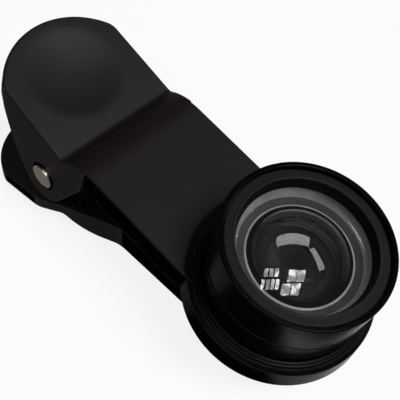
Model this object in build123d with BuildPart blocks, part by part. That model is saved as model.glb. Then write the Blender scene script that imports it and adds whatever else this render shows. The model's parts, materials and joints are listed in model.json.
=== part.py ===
from build123d import *
from math import asin, atan, atan2, cos, degrees, hypot, radians, sin, sqrt, tan
import os

os.makedirs("parts", exist_ok=True)

# Sprung clip with a wide-angle lens screwed onto a macro lens. Millimetres, +Z up.
# The origin is where the lens's axis meets the face that lies on the phone. The clip is
# closed and lies on a table on its lower jaw, so the lens's axis leans towards +X.

# Jaws
arm_length = 38.9            # from the hinge pin to the lens's axis, along the upper arm
arm_rise = 10.5              # from the hinge pin up to the top face of the arm
arm_height = 5.15
arm_width = 22.0             # at the lens
wall = 1.6                   # moulded wall of both arms
shoulder_radius = 9.0        # convex bend from the arm down to the valley
shoulder_length = 6.6        # length of that bend along the arm
valley_past_pin = 3.3        # from the pin to the valley, towards the lens
valley_radius = 1.2
lever_slope = 11.15          # degrees between the lever and the arm
lever_plate = 2.2
flare = 6.0                  # degrees that the sides of the ears lean outwards
edge_round = 0.45

# Upper lever and ears
lever_half_width = 11.05
lever_end_radius = 13.0
lever_straight = 7.8         # from the valley to the centre of the round end
lever_corner = 3.0
ear_radius = 4.7
ear_wall = 1.8
ear_back = 14.4              # from the valley to the back edge of the ear
ear_back_bulge = 0.8
ear_root_round = 1.5
ear_front = 7.9              # from the pin to the front edge, where the arm begins
ear_proud = 0.12             # how far the ear stands out from the arm, at the top
dish_inner_radius = 7.0
dish_radius = 8.7
dish_depth = 1.0
dish_centre = 11.3           # from the valley, along the lever

# Lower jaw
lower_end_radius = 14.2
lower_side_trim = 0.7        # how far the straight sides lie inside the round end
lower_straight = 9.2
lower_lever_plate = 2.4
lower_neck_start = -1.0      # from the pin to where the jaw begins to narrow
lower_neck_end = 13.0        # from the pin to where it is as narrow as its tip
lower_tip_radius = 7.6
lower_tip = 48.0             # from the pin to the tip of the jaw
lower_bend_round = 6.0
inner_ear_radius = 4.1
inner_ear_wall = 1.7
inner_ear_root = 6.5         # half the length of the ear where it leaves the jaw
ear_clearance = 0.3

# Hollows under the arms
pocket_count = 3
pocket_rib = 1.2
pocket_corner = 0.6

# Rubber pads
pad_thickness = 1.0
pad_radius = 13.0
pad_bore = 9.6
pad_bevel = 0.25
lower_pad_thickness = 1.5
lower_pad_length = 20.0
tip_margin = 1.2             # from the lower jaw's tip to its pad
rest_gap = 0.3               # between the closed pads

# Ring end of the upper jaw
ring_radius = 14.5
ring_top_radius = 14.2
ring_shoulder = 0.4
ring_shoulder_width = 0.6
ring_bevel = 1.25
flange_seat_depth = 1.5
running_clearance = 0.05

# Hinge pin and spring
pin_radius = 1.25
pin_head_radius = 2.15
pin_head_height = 0.95
pin_head_round = 0.3
pin_in_cap = 0.55
spot_face_radius = 2.6
spot_face_depth = 0.45
seat_clearance = 0.02
spring_wire = 0.45           # radius of the wire
wire_flats = 8               # the round wire is drawn with this many narrow flats
spring_radius = 2.4          # radius of the coil's centre line
spring_turns = 5
spring_pitch = 1.3
spring_leg = 11.5
spring_gap = 0.15            # between the tip of each leg and its lever

# Macro lens
flange_radius = 13.3
flange_height = 1.75
macro_foot_radius = 12.3
macro_radius = 12.5
macro_height = 5.3           # above the flange
stub_radius = 9.0
stub_length = 3.2
macro_throat = 6.6
macro_glass_radius = 7.6
macro_glass_edge = 1.4
macro_glass_bulge = 1.1
macro_glass_seat = 2.55      # above the end of the stub
macro_retainer_height = 1.2
macro_socket_radius = 10.0
macro_socket_depth = 4.0
bevel = 0.3                  # on the turned edges
slot_width = 0.8             # of the notches that the retaining rings are turned by

# Wide-angle lens
wide_height = 6.55           # from the joint with the macro lens to the rim
rim_radius = 12.4
rim_wall = 0.75
rim_rise = 0.5               # of the rim over the front ring
wide_stub_length = 3.6
web_height = 0.7             # of the web between the front glass and the rear pair
front_ring_height = 1.8
front_ring_inner = 9.92
front_ring_throat = 9.45
seam_width = 0.2
seam_depth = 0.5
front_glass_radius = 11.0
front_glass_edge = 3.5
front_glass_bulge = 0.7
hollow_radius = 7.6
hollow_depth = 3.0
spacer_radius = 8.4
spacer_height = 1.1
spacer_step_radius = 6.5
spacer_step_height = 0.6
rear_throat = 5.0
rear_glass_radius = 5.6
rear_glass_edge = 1.0        # of each of the two
rear_glass_bulge = 0.7
cement_bulge = 0.5           # of the face where the two are cemented
cement_thickness = 0.04
rear_back_bulge = 0.3
rear_retainer_height = 0.5
retainer_width = 0.85

# Heights above the phone face, along the lens's axis
arm_bottom = pad_thickness
arm_top = arm_bottom + arm_height
pin_height = arm_top - arm_rise
valley_u = valley_past_pin - arm_length
shoulder_u = valley_u + shoulder_length
shoulder_drop = shoulder_radius - sqrt(shoulder_radius**2 - shoulder_length**2)
valley_v = arm_top - shoulder_drop
valley_rise = arm_rise - shoulder_drop
lever_rad = radians(lever_slope)
lever_length = lever_straight + lever_end_radius
lever_tip_v = valley_v + lever_length * sin(lever_rad)
ear_front_u = ear_front - arm_length

# How far the lower jaw is turned when the pads meet, and how the closed clip lies: on the
# rounded edge of its lower lever and on the tip of its lower arm
arm_inner = arm_rise - arm_height
lower_pad_face = arm_inner - lower_pad_thickness
pad_tip = lower_tip - tip_margin
pad_tip_reach = hypot(pad_tip, lower_pad_face)
jaw_angle = degrees(atan2(lower_pad_face, pad_tip) + asin((-pin_height - rest_gap) / pad_tip_reach))
lower_length = lower_straight + lower_end_radius
edge_loss = edge_round * (tan(lever_rad) + 1 / cos(lever_rad) - 1)
foot_u = valley_past_pin - lower_length * cos(lever_rad) + edge_round
foot_v = valley_rise + lower_length * sin(lever_rad) - edge_loss
foot_slope = degrees(atan2(foot_v - arm_rise, lower_tip - edge_round - foot_u))
lean = jaw_angle + foot_slope

# Frames. The upper jaw and the lens are drawn from the origin, with their height along the
# lens's axis. The lower jaw is drawn from the hinge pin, with its height away from the pin.
up = Vector(sin(radians(lean)), 0, cos(radians(lean)))
forward = Vector(cos(radians(lean)), 0, -sin(radians(lean)))
lens_axis = Axis((0, 0, 0), up)
lens_side = Plane(origin=(0, 0, 0), x_dir=forward, z_dir=(0, -1, 0))
pin_point = forward * -arm_length + up * pin_height
lower_turn = radians(jaw_angle - lean)
lower_forward = Vector(cos(lower_turn), 0, sin(lower_turn))
lower_out = Vector(sin(lower_turn), 0, -cos(lower_turn))
lower_side = Plane(origin=pin_point, x_dir=lower_forward, z_dir=(0, 1, 0))
pin_side = Plane(origin=pin_point, x_dir=forward, z_dir=(0, -1, 0))
pin_section = Plane(origin=pin_point, x_dir=(1, 0, 0), z_dir=(0, 0, 1))
pin_axis = Axis(pin_point, (0, 1, 0))
span = 4 * lower_end_radius       # wider than the clip, for cuts across it


def looking_down(height):
    """Plane across the lens's axis at a height, with its normal towards the phone."""
    return Plane(origin=up * height, x_dir=forward, z_dir=-up)


def lower_plan(height):
    """Plane along the lower jaw at a distance from the pin, with its normal away from it."""
    return Plane(origin=pin_point + lower_out * height, x_dir=lower_forward, z_dir=lower_out)


def looking_back(along):
    """Plane across the arm at a distance from the lens's axis, with its normal to the pin."""
    return Plane(origin=forward * along, x_dir=(0, -1, 0), z_dir=-forward)


def leaning(half_width, low, high):
    """Half the width at a lower height of walls that lean outwards from a higher one."""
    return half_width + (high - low) * tan(radians(flare))


def leaning_section(half_width, high, low):
    """Cross-section with leaning walls, whose half width is given at the lever's tip."""
    half_high = leaning(half_width, high, lever_tip_v)
    half_low = leaning(half_width, low, lever_tip_v)
    Polyline((half_high, high), (half_low, low), (-half_low, low), (-half_high, high), close=True)


def lever_point(start_u, start_v, along, below):
    """A point of a lever's side view, so far along its face and so far under it."""
    u = start_u - along * cos(lever_rad) - below * sin(lever_rad)
    v = start_v + along * sin(lever_rad) - below * cos(lever_rad)
    return (u, v)


def dished(centre, outward):
    """Plane through the axis of a thumb dish, at the lever's face."""
    return Plane(origin=centre, x_dir=(0, 1, 0), z_dir=Vector(0, 1, 0).cross(outward))


def dish_section():
    """Half of the dish: a hollow that turns into the lever's face without an edge."""
    turn = 2 * atan(dish_depth / dish_radius)
    bend_height = dish_inner_radius * tan(turn / 2) - dish_depth
    TangentArc((0, -dish_depth), (dish_inner_radius, bend_height), tangent=(1, 0))
    TangentArc((dish_radius, 0), (dish_inner_radius, bend_height), tangent=(-1, 0))
    Polyline((dish_radius, 0), (dish_radius, dish_depth), (0, dish_depth), (0, -dish_depth))


def dome(radius, edge, bulge):
    """Curved face of a glass in section, from its edge to the axis."""
    curve = (radius**2 + bulge**2) / (2 * abs(bulge))
    drop = curve - sqrt(curve**2 - radius**2 / 4)
    middle = bulge - drop if bulge > 0 else bulge + drop
    ThreePointArc((radius, edge), (radius / 2, edge + middle), (0, edge + bulge))


# Side view of the upper jaw: lever, valley, shoulder, arm, and the ear round the pin
ear_foot = [
    (ear_radius * cos(radians(a)) - arm_length, ear_radius * sin(radians(a)) + pin_height)
    for a in (-30, -90, -135)
]
ear_top = lever_point(valley_u, valley_v, ear_back, lever_plate)
with BuildSketch(lens_side) as jaw_profile:
    with BuildLine():
        Line(lever_point(valley_u, valley_v, lever_length + wall, 0), (valley_u, valley_v))
        CenterArc(
            (shoulder_u, arm_top - shoulder_radius),
            shoulder_radius,
            90,
            degrees(asin(shoulder_length / shoulder_radius)),
        )
        Polyline(
            (shoulder_u, arm_top),
            (ring_radius + wall, arm_top),
            (ring_radius + wall, arm_bottom),
            (ear_front_u, arm_bottom),
            ear_foot[0],
        )
        ThreePointArc(*ear_foot)
        SagittaArc(ear_foot[2], ear_top, ear_back_bulge)
        Polyline(
            ear_top,
            lever_point(valley_u, valley_v, lever_length + wall, lever_plate),
            lever_point(valley_u, valley_v, lever_length + wall, 0),
        )
    make_face()
    fillet(vertices().sort_by_distance((valley_u, valley_v))[0], radius=valley_radius)
    fillet(vertices().sort_by_distance(ear_top)[0], radius=ear_root_round)

# Lever, valley and ears, with sides that lean outwards
block_top = lever_tip_v + wall
block_bottom = pin_height - ear_radius
end_centre_u = valley_u - lever_straight * cos(lever_rad)
end_radius = lever_end_radius - leaning(0, lever_tip_v, block_top)
with BuildPart() as lever_block:
    with BuildSketch(looking_down(block_top)):
        with BuildLine():
            CenterArc((end_centre_u, 0), end_radius, 90, 180)
            Polyline(
                (end_centre_u, -end_radius),
                (ear_front_u, -end_radius),
                (ear_front_u, end_radius),
                (end_centre_u, end_radius),
            )
        make_face()
    extrude(amount=block_top - block_bottom, taper=-flare)
    with BuildSketch(looking_back(ear_front_u)):
        with BuildLine():
            leaning_section(lever_half_width, block_top, block_bottom)
        make_face()
    extrude(amount=ear_front + lever_length + span, mode=Mode.INTERSECT)
    corners = edges().filter_by(lambda e: e.center().dot(forward) < end_centre_u)
    fillet(corners.filter_by(lambda e: abs(e.tangent_at(0.5).dot(up)) > 0.9), radius=lever_corner)
    extrude(to_extrude=jaw_profile.sketch, amount=span, both=True, mode=Mode.INTERSECT)
    top_faces = faces().filter_by(lambda f: f.normal_at().dot(up) > 0.5)
    fillet(top_faces.edges().filter_by(Axis.Y, reverse=True), radius=edge_round)

# Arm, which the ring end joins
arm_root_width = 2 * (lever_half_width + leaning(0, arm_top, lever_tip_v) - ear_proud)
with BuildPart() as arm_block:
    with BuildSketch(looking_down(arm_top)):
        with BuildLine():
            Polyline(
                (0, -arm_width / 2),
                (0, arm_width / 2),
                (valley_u, arm_root_width / 2),
                (valley_u, -arm_root_width / 2),
                close=True,
            )
        make_face()
    extrude(amount=arm_height)
    extrude(to_extrude=jaw_profile.sketch, amount=span, both=True, mode=Mode.INTERSECT)
    arm_sides = faces().filter_by(lambda f: abs(f.normal_at().Y) > 0.9)
    fillet(arm_sides.edges().filter_by(lambda e: e.length > shoulder_length), radius=edge_round)

# Room between the ears, open below and at both ends
room_half_width = lever_half_width - ear_wall
with BuildPart() as ear_room:
    with BuildSketch(lens_side):
        with BuildLine():
            Polyline(
                lever_point(valley_u, valley_v, 0, lever_plate),
                (ear_front_u + wall, arm_bottom),
                (ear_front_u + wall, block_bottom - wall),
                (valley_u - 2 * lever_length, block_bottom - wall),
                lever_point(valley_u, valley_v, 2 * lever_length, lever_plate),
                close=True,
            )
        make_face()
    extrude(amount=span, both=True)
    with BuildSketch(looking_back(0)):
        with BuildLine():
            leaning_section(room_half_width, 2 * block_top, block_bottom - wall)
        make_face()
    extrude(amount=arm_length + 2 * lever_length, mode=Mode.INTERSECT)

# Upper jaw, one moulding
pocket_start = shoulder_u
pocket_end = -ring_radius
pocket_pitch = (pocket_end - pocket_start + pocket_rib) / pocket_count
spot_face = leaning(lever_half_width, pin_height, lever_tip_v) - spot_face_depth
lever_centre = lens_side.from_local_coords(lever_point(valley_u, valley_v, dish_centre, 0))
lever_out = forward * sin(lever_rad) + up * cos(lever_rad)
with BuildPart() as upper_jaw:
    add(lever_block.part)
    add(arm_block.part)
    with BuildSketch(lens_side):
        with BuildLine():
            Polyline(
                (0, arm_bottom),
                (ring_radius - ring_bevel, arm_bottom),
                (ring_radius, arm_bottom + ring_bevel),
                (ring_top_radius, arm_top - ring_shoulder),
                (ring_top_radius - ring_shoulder_width, arm_top),
                (0, arm_top),
                close=True,
            )
        make_face()
    revolve(axis=lens_axis)
    add(ear_room.part, mode=Mode.SUBTRACT)
    with BuildSketch(looking_down(arm_top - wall)):
        with Locations(((pocket_start + pocket_end) / 2, 0)):
            with GridLocations(pocket_pitch, 0, pocket_count, 1):
                RectangleRounded(pocket_pitch - pocket_rib, arm_width - 2 * wall, pocket_corner)
    extrude(amount=arm_height, mode=Mode.SUBTRACT)
    with BuildSketch(lens_side):
        with BuildLine():
            Polyline(
                (0, 0),
                (stub_radius + running_clearance, 0),
                (stub_radius + running_clearance, arm_top - flange_seat_depth),
                (flange_radius + running_clearance, arm_top - flange_seat_depth),
                (flange_radius + running_clearance, arm_top + wall),
                (0, arm_top + wall),
                close=True,
            )
        make_face()
    revolve(axis=lens_axis, mode=Mode.SUBTRACT)
    with BuildSketch(dished(lever_centre, lever_out)):
        with BuildLine():
            dish_section()
        make_face()
    revolve(axis=Axis(lever_centre, lever_out), mode=Mode.SUBTRACT)
    with BuildSketch(pin_side):
        Circle(pin_radius + seat_clearance)
    extrude(amount=span, both=True, mode=Mode.SUBTRACT)
    with BuildSketch(pin_side.offset(spot_face), pin_side.offset(-spot_face - wall)):
        Circle(spot_face_radius)
    extrude(amount=wall, mode=Mode.SUBTRACT)
upper_jaw.part.label = "upper_jaw"
export_step(upper_jaw.part, "parts/upper_jaw.step")

# Lower jaw, one moulding: lever, arm, and the ears between those of the upper jaw
lower_half_width = lower_end_radius - lower_side_trim
lower_end_u = valley_past_pin - lower_straight * cos(lever_rad)
lower_side_u = lower_end_u - sqrt(lower_end_radius**2 - lower_half_width**2)
lower_shoulder_u = valley_past_pin + shoulder_length
tip_centre_u = lower_tip - lower_tip_radius
ear_room_at_top = leaning(lever_half_width - ear_wall, pin_height + inner_ear_radius, lever_tip_v)
inner_ear_face = ear_room_at_top - ear_clearance
lower_pocket_start = lower_shoulder_u + wall
lower_pocket_end = pad_tip - lower_pad_length
lower_pocket_pitch = (lower_pocket_end - lower_pocket_start + pocket_rib) / pocket_count
lower_pocket_width = 2 * (lower_tip_radius - wall)
lower_dish = lever_point(valley_past_pin, valley_rise, dish_centre, 0)
lower_lever_centre = lower_side.from_local_coords(lower_dish)
lower_lever_out = lower_forward * sin(lever_rad) + lower_out * cos(lever_rad)
with BuildPart() as lower_jaw:
    with BuildSketch(lower_plan(0)):
        with BuildLine():
            Polyline(
                (lower_side_u, lower_half_width),
                (lower_neck_start, lower_half_width),
                (lower_neck_end, lower_tip_radius),
                (tip_centre_u, lower_tip_radius),
            )
            CenterArc((tip_centre_u, 0), lower_tip_radius, -90, 180)
            Polyline(
                (tip_centre_u, -lower_tip_radius),
                (lower_neck_end, -lower_tip_radius),
                (lower_neck_start, -lower_half_width),
                (lower_side_u, -lower_half_width),
            )
            ThreePointArc(
                (lower_side_u, -lower_half_width),
                (lower_end_u - lower_end_radius, 0),
                (lower_side_u, lower_half_width),
            )
        make_face()
        fillet(vertices().group_by(Axis.X)[0], radius=lever_corner)
        bends = vertices().filter_by_position(Axis.X, lower_neck_start - wall, lower_neck_end + wall)
        fillet(bends, radius=lower_bend_round)
    extrude(amount=arm_rise + lower_length)
    with BuildSketch(lower_side):
        with BuildLine():
            Line(
                lever_point(valley_past_pin, valley_rise, lower_length + wall, 0),
                (valley_past_pin, valley_rise),
            )
            CenterArc(
                (lower_shoulder_u, arm_rise - shoulder_radius),
                shoulder_radius,
                90,
                degrees(asin(shoulder_length / shoulder_radius)),
            )
            Polyline(
                (lower_shoulder_u, arm_rise),
                (lower_tip + wall, arm_rise),
                (lower_tip + wall, arm_inner),
                (valley_past_pin, arm_inner),
                lever_point(valley_past_pin, valley_rise, 0, lower_lever_plate),
                lever_point(valley_past_pin, valley_rise, lower_length + wall, lower_lever_plate),
                lever_point(valley_past_pin, valley_rise, lower_length + wall, 0),
            )
        make_face()
        fillet(vertices().sort_by_distance((valley_past_pin, valley_rise))[0], radius=valley_radius)
    extrude(amount=span, both=True, mode=Mode.INTERSECT)
    outer_faces = faces().filter_by(lambda f: f.normal_at().dot(lower_out) > 0.5)
    fillet(outer_faces.edges().filter_by(Axis.Y, reverse=True), radius=edge_round)
    with BuildSketch(lower_plan(arm_rise - wall)):
        with Locations(((lower_pocket_start + lower_pocket_end) / 2, 0)):
            with GridLocations(lower_pocket_pitch, 0, pocket_count, 1):
                RectangleRounded(lower_pocket_pitch - pocket_rib, lower_pocket_width, pocket_corner)
    extrude(amount=-arm_height, mode=Mode.SUBTRACT)
    with BuildSketch(dished(lower_lever_centre, lower_lever_out)):
        with BuildLine():
            dish_section()
        make_face()
    revolve(axis=Axis(lower_lever_centre, lower_lever_out), mode=Mode.SUBTRACT)
    with BuildSketch(lower_side.offset(inner_ear_face), lower_side.offset(inner_ear_wall - inner_ear_face)):
        Circle(inner_ear_radius)
        with BuildLine():
            Polyline(
                (-inner_ear_radius, 0),
                (-inner_ear_root, arm_inner + wall),
                (inner_ear_root, arm_inner + wall),
                (inner_ear_radius, 0),
                close=True,
            )
        make_face()
    extrude(amount=-inner_ear_wall)
    with BuildSketch(lower_side):
        Circle(pin_radius + running_clearance)
    extrude(amount=span, both=True, mode=Mode.SUBTRACT)
lower_jaw.part.label = "lower_jaw"
export_step(lower_jaw.part, "parts/lower_jaw.step")

# Rubber pads
with BuildPart() as upper_pad:
    with BuildSketch(looking_down(pad_thickness)):
        Circle(pad_radius)
        Circle(pad_bore, mode=Mode.SUBTRACT)
    extrude(amount=pad_thickness)
    chamfer(faces().sort_by(lens_axis)[0].edges(), length=pad_bevel)
upper_pad.part.label = "upper_pad"
export_step(upper_pad.part, "parts/upper_pad.step")

with BuildPart() as lower_pad:
    with BuildSketch(lower_plan(lower_pad_face)):
        with BuildLine():
            pad_end_radius = lower_tip_radius - tip_margin
            CenterArc((tip_centre_u, 0), pad_end_radius, -90, 180)
            Polyline(
                (tip_centre_u, pad_end_radius),
                (pad_tip - lower_pad_length, pad_end_radius),
                (pad_tip - lower_pad_length, -pad_end_radius),
                (tip_centre_u, -pad_end_radius),
            )
        make_face()
        fillet(vertices().group_by(Axis.X)[0], radius=wall)
    extrude(amount=lower_pad_thickness)
    chamfer(faces().sort_by(Axis(pin_point, lower_out))[0].edges(), length=pad_bevel)
lower_pad.part.label = "lower_pad"
export_step(lower_pad.part, "parts/lower_pad.step")

# Hinge pin, with its head seated in the near ear, and the cap on its far end
head_seat = spot_face + seat_clearance
pin_end = head_seat + pin_in_cap
with BuildPart() as hinge_pin:
    with BuildSketch(pin_section):
        with BuildLine():
            Polyline(
                (0, -head_seat - pin_head_height),
                (pin_head_radius, -head_seat - pin_head_height),
                (pin_head_radius, -head_seat),
                (pin_radius, -head_seat),
                (pin_radius, pin_end),
                (0, pin_end),
                close=True,
            )
        make_face()
        head_corner = vertices().sort_by_distance((pin_head_radius, -head_seat - pin_head_height))[0]
        fillet(head_corner, radius=pin_head_round)
    revolve(axis=pin_axis)
hinge_pin.part.label = "hinge_pin"
export_step(hinge_pin.part, "parts/hinge_pin.step")

with BuildPart() as pin_cap:
    with BuildSketch(pin_section):
        with BuildLine():
            Polyline(
                (0, pin_end + seat_clearance),
                (pin_radius + seat_clearance, pin_end + seat_clearance),
                (pin_radius + seat_clearance, head_seat),
                (pin_head_radius, head_seat),
                (pin_head_radius, head_seat + pin_head_height),
                (0, head_seat + pin_head_height),
                close=True,
            )
        make_face()
        cap_corner = vertices().sort_by_distance((pin_head_radius, head_seat + pin_head_height))[0]
        fillet(cap_corner, radius=pin_head_round)
    revolve(axis=pin_axis)
pin_cap.part.label = "pin_cap"
export_step(pin_cap.part, "parts/pin_cap.step")


def leg_lean(plate):
    """Degrees between a spring leg and its lever, when the leg's tip just misses the lever."""
    distance = valley_past_pin * sin(lever_rad) + valley_rise * cos(lever_rad) - plate
    reach = distance - spring_wire - spring_gap
    return degrees(asin(reach / hypot(spring_radius, spring_leg)) - atan2(spring_radius, spring_leg))


# Torsion spring: a coil round the pin, and a leg along each lever
upper_turn = 90 - lever_slope - leg_lean(lever_plate)
lower_turn_back = 90 - lever_slope - leg_lean(lower_lever_plate) - jaw_angle
coil_turns = spring_turns + (upper_turn + lower_turn_back) / 360
coil_start = forward * cos(radians(upper_turn)) + up * sin(radians(upper_turn))
coil_frame = Plane(
    origin=pin_point - Vector(0, coil_turns * spring_pitch / 2, 0), x_dir=coil_start, z_dir=(0, 1, 0)
)
with BuildLine() as coil:
    Helix(spring_pitch, coil_turns * spring_pitch, spring_radius)
turns = coil_frame.from_local_coords(coil.edge())
with BuildPart() as torsion_spring:
    with BuildLine() as spring_path:
        Line(turns @ 0 - (turns % 0) * spring_leg, turns @ 0)
        add(turns)
        Line(turns @ 1, turns @ 1 + (turns % 1) * spring_leg)
    with BuildSketch(Plane(origin=spring_path.line @ 0, z_dir=spring_path.line % 0)):
        RegularPolygon(spring_wire, wire_flats)
    sweep()
torsion_spring.part.label = "torsion_spring"
export_step(torsion_spring.part, "parts/torsion_spring.step")

# Macro lens
flange_seat = arm_top - flange_seat_depth
stub_end = flange_seat - stub_length
flange_top = flange_seat + flange_height
joint = flange_top + macro_height
macro_socket_floor = joint - macro_socket_depth
glass_seat = stub_end + macro_glass_seat
glass_top = glass_seat + macro_glass_edge
glass_bore = macro_glass_radius + seat_clearance
macro_ring_inner = macro_glass_radius - retainer_width
with BuildPart() as macro_barrel:
    with BuildSketch(lens_side):
        with BuildLine():
            Polyline(
                (macro_throat, stub_end),
                (stub_radius - bevel, stub_end),
                (stub_radius, stub_end + bevel),
                (stub_radius, flange_seat),
                (flange_radius - bevel, flange_seat),
                (flange_radius, flange_seat + bevel),
                (flange_radius, flange_top - bevel),
                (flange_radius - bevel, flange_top),
                (macro_foot_radius, flange_top),
                (macro_radius, joint - bevel),
                (macro_radius - bevel, joint),
                (macro_socket_radius + bevel, joint),
                (macro_socket_radius, joint - bevel),
                (macro_socket_radius, macro_socket_floor),
                (glass_bore, macro_socket_floor),
                (glass_bore, glass_seat),
                (macro_throat, glass_seat),
                close=True,
            )
        make_face()
    revolve(axis=lens_axis)
macro_barrel.part.label = "macro_barrel"
export_step(macro_barrel.part, "parts/macro_barrel.step")

with BuildPart() as macro_glass:
    with BuildSketch(lens_side):
        with BuildLine():
            Polyline(
                (0, glass_top + macro_glass_bulge),
                (0, glass_seat),
                (macro_glass_radius, glass_seat),
                (macro_glass_radius, glass_top),
                (macro_ring_inner, glass_top),
            )
            dome(macro_ring_inner, glass_top, macro_glass_bulge)
        make_face()
    revolve(axis=lens_axis)
macro_glass.part.label = "macro_glass"
export_step(macro_glass.part, "parts/macro_glass.step")

macro_ring_top = glass_top + macro_retainer_height
with BuildPart() as macro_retaining_ring:
    with BuildSketch(looking_down(macro_ring_top)):
        Circle(macro_glass_radius)
        Circle(macro_ring_inner, mode=Mode.SUBTRACT)
    extrude(amount=macro_retainer_height)
    with BuildSketch(looking_down(macro_ring_top)):
        Rectangle(2 * flange_radius, slot_width)
    extrude(amount=macro_retainer_height / 2, mode=Mode.SUBTRACT)
macro_retaining_ring.part.label = "macro_retaining_ring"
export_step(macro_retaining_ring.part, "parts/macro_retaining_ring.step")

# Wide-angle lens: barrel, front ring, front glass, spacer and cemented rear pair
rim_top = joint + wide_height
face = rim_top - rim_rise
front_glass_top = face - front_ring_height
front_glass_seat = front_glass_top - front_glass_edge
web_top = front_glass_seat - spacer_height
web_bottom = web_top - web_height
wide_stub_radius = macro_socket_radius - running_clearance
wide_stub_end = joint - wide_stub_length
front_bore = rim_radius - rim_wall
with BuildPart() as wide_barrel:
    with BuildSketch(lens_side):
        with BuildLine():
            Polyline(
                (wide_stub_radius - bevel, wide_stub_end),
                (wide_stub_radius, wide_stub_end + bevel),
                (wide_stub_radius, joint),
                (rim_radius - bevel, joint),
                (rim_radius, joint + bevel),
                (rim_radius, rim_top - bevel),
                (rim_radius - bevel, rim_top),
                (front_bore, rim_top),
                (front_bore, front_glass_top),
                (front_glass_radius + seat_clearance, front_glass_top),
                (front_glass_radius + seat_clearance, front_glass_seat),
                (spacer_radius + seat_clearance, front_glass_seat),
                (spacer_radius + seat_clearance, web_top),
                (rear_throat, web_top),
                (rear_throat, web_bottom),
                (rear_glass_radius + seat_clearance, web_bottom),
                (rear_glass_radius + seat_clearance, wide_stub_end),
                close=True,
            )
        make_face()
    revolve(axis=lens_axis)
wide_barrel.part.label = "wide_barrel"
export_step(wide_barrel.part, "parts/wide_barrel.step")

front_ring_radius = front_bore - seat_clearance
with BuildPart() as front_retaining_ring:
    with BuildSketch(lens_side):
        with BuildLine():
            Polyline(
                (front_ring_throat, front_glass_top),
                (front_ring_inner, face - bevel),
                (front_ring_inner + bevel / 2, face),
                (front_bore - seam_width - bevel / 2, face),
                (front_bore - seam_width, face - bevel / 2),
                (front_bore - seam_width, face - seam_depth),
                (front_ring_radius, face - seam_depth),
                (front_ring_radius, front_glass_top),
                close=True,
            )
        make_face()
    revolve(axis=lens_axis)
front_retaining_ring.part.label = "front_retaining_ring"
export_step(front_retaining_ring.part, "parts/front_retaining_ring.step")

with BuildPart() as front_glass:
    with BuildSketch(lens_side):
        with BuildLine():
            Polyline(
                (hollow_radius, front_glass_seat),
                (front_glass_radius, front_glass_seat),
                (front_glass_radius, front_glass_top),
                (front_ring_throat, front_glass_top),
            )
            dome(front_ring_throat, front_glass_top, front_glass_bulge)
            Line((0, front_glass_top + front_glass_bulge), (0, front_glass_seat + hollow_depth))
            dome(hollow_radius, front_glass_seat, hollow_depth)
        make_face()
    revolve(axis=lens_axis)
front_glass.part.label = "front_glass"
export_step(front_glass.part, "parts/front_glass.step")

with BuildPart() as spacer_ring:
    with BuildSketch(lens_side):
        with BuildLine():
            Polyline(
                (spacer_step_radius, web_top),
                (spacer_radius, web_top),
                (spacer_radius, front_glass_seat),
                (hollow_radius, front_glass_seat),
                (hollow_radius, web_top + spacer_step_height),
                (spacer_step_radius, web_top + spacer_step_height),
                close=True,
            )
        make_face()
    revolve(axis=lens_axis)
spacer_ring.part.label = "spacer_ring"
export_step(spacer_ring.part, "parts/spacer_ring.step")

cement = web_bottom - rear_glass_edge
rear_glass_end = cement - cement_thickness - rear_glass_edge
with BuildPart() as rear_glass_front:
    with BuildSketch(lens_side):
        with BuildLine():
            dome(rear_glass_radius, cement, -cement_bulge)
            Line((0, cement - cement_bulge), (0, web_bottom + rear_glass_bulge))
            dome(rear_throat, web_bottom, rear_glass_bulge)
            Polyline((rear_throat, web_bottom), (rear_glass_radius, web_bottom), (rear_glass_radius, cement))
        make_face()
    revolve(axis=lens_axis)
rear_glass_front.part.label = "rear_glass_front"
export_step(rear_glass_front.part, "parts/rear_glass_front.step")

rear_ring_inner = rear_glass_radius - retainer_width
with BuildPart() as rear_glass_back:
    with BuildSketch(lens_side):
        with BuildLine():
            dome(rear_glass_radius, cement - cement_thickness, -cement_bulge)
            Line((0, cement - cement_thickness - cement_bulge), (0, rear_glass_end - rear_back_bulge))
            dome(rear_ring_inner, rear_glass_end, -rear_back_bulge)
            Polyline(
                (rear_ring_inner, rear_glass_end),
                (rear_glass_radius, rear_glass_end),
                (rear_glass_radius, cement - cement_thickness),
            )
        make_face()
    revolve(axis=lens_axis)
rear_glass_back.part.label = "rear_glass_back"
export_step(rear_glass_back.part, "parts/rear_glass_back.step")

with BuildPart() as rear_retaining_ring:
    with BuildSketch(looking_down(rear_glass_end)):
        Circle(rear_glass_radius)
        Circle(rear_ring_inner, mode=Mode.SUBTRACT)
    extrude(amount=rear_retainer_height)
    with BuildSketch(looking_down(rear_glass_end - rear_retainer_height / 2)):
        Rectangle(2 * flange_radius, slot_width)
    extrude(amount=rear_retainer_height, mode=Mode.SUBTRACT)
rear_retaining_ring.part.label = "rear_retaining_ring"
export_step(rear_retaining_ring.part, "parts/rear_retaining_ring.step")
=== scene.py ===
import json
import math

import bmesh
import bpy
import numpy as np
from mathutils import Matrix, Vector


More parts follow.
